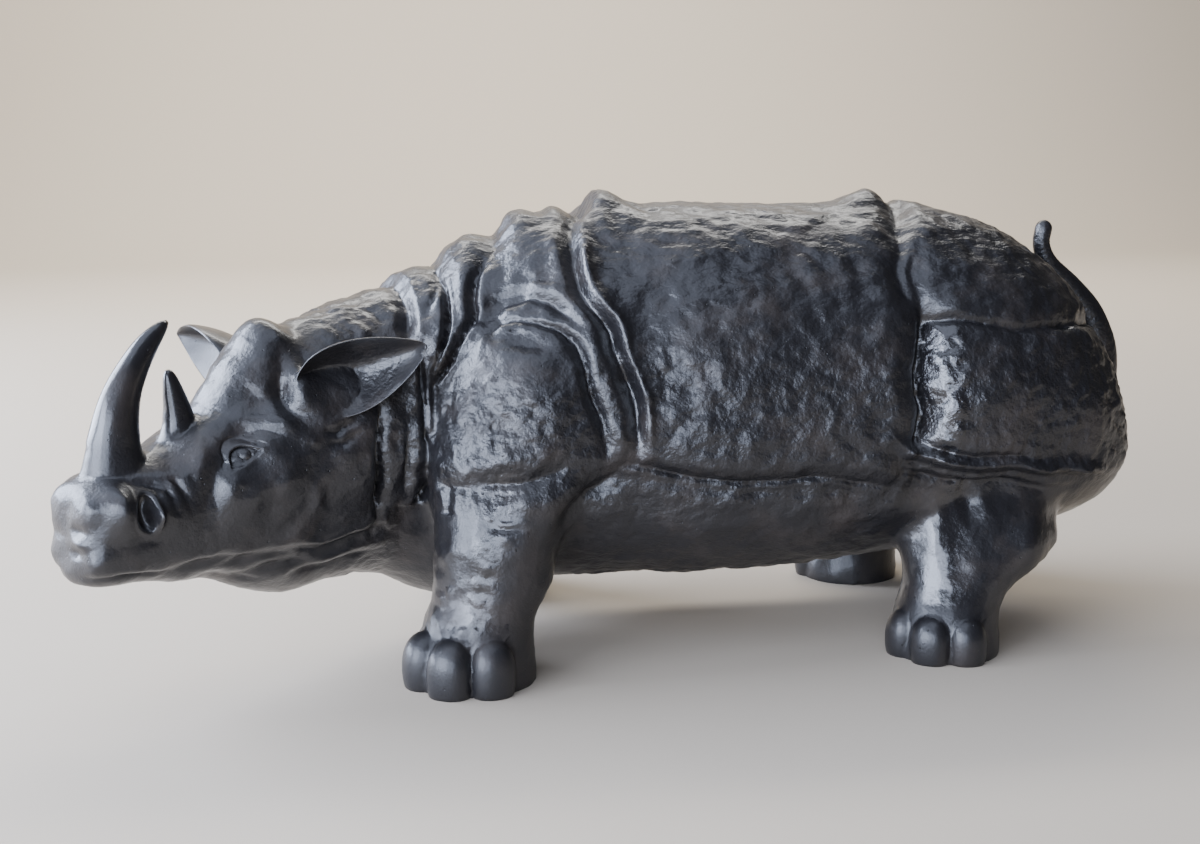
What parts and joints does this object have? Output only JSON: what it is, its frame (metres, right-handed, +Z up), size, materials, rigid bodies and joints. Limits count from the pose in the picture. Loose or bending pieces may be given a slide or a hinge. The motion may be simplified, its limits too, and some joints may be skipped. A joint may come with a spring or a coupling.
{
  "type": "ceramic rhinoceros figurine",
  "caption": "Standing rhinoceros figurine in black-glazed ceramic, head lowered and turned to its left, with folded skin, flat soles and a raised tail tip.",
  "frame": {"origin": "on the floor, under the middle of the figurine's bounding box", "axes": "+X towards the tail, -X towards the nose, -Y towards the animal's left flank, +Z up from the floor"},
  "size_m": [0.6552, 0.2666, 0.2742],
  "materials": {
    "black_glaze": "black satin glaze over crumpled clay skin, glossier on the thigh, shins and horns"
  },
  "bodies": {
    "root": {"rhinoceros": "black_glaze"}
  },
  "joints": []
}
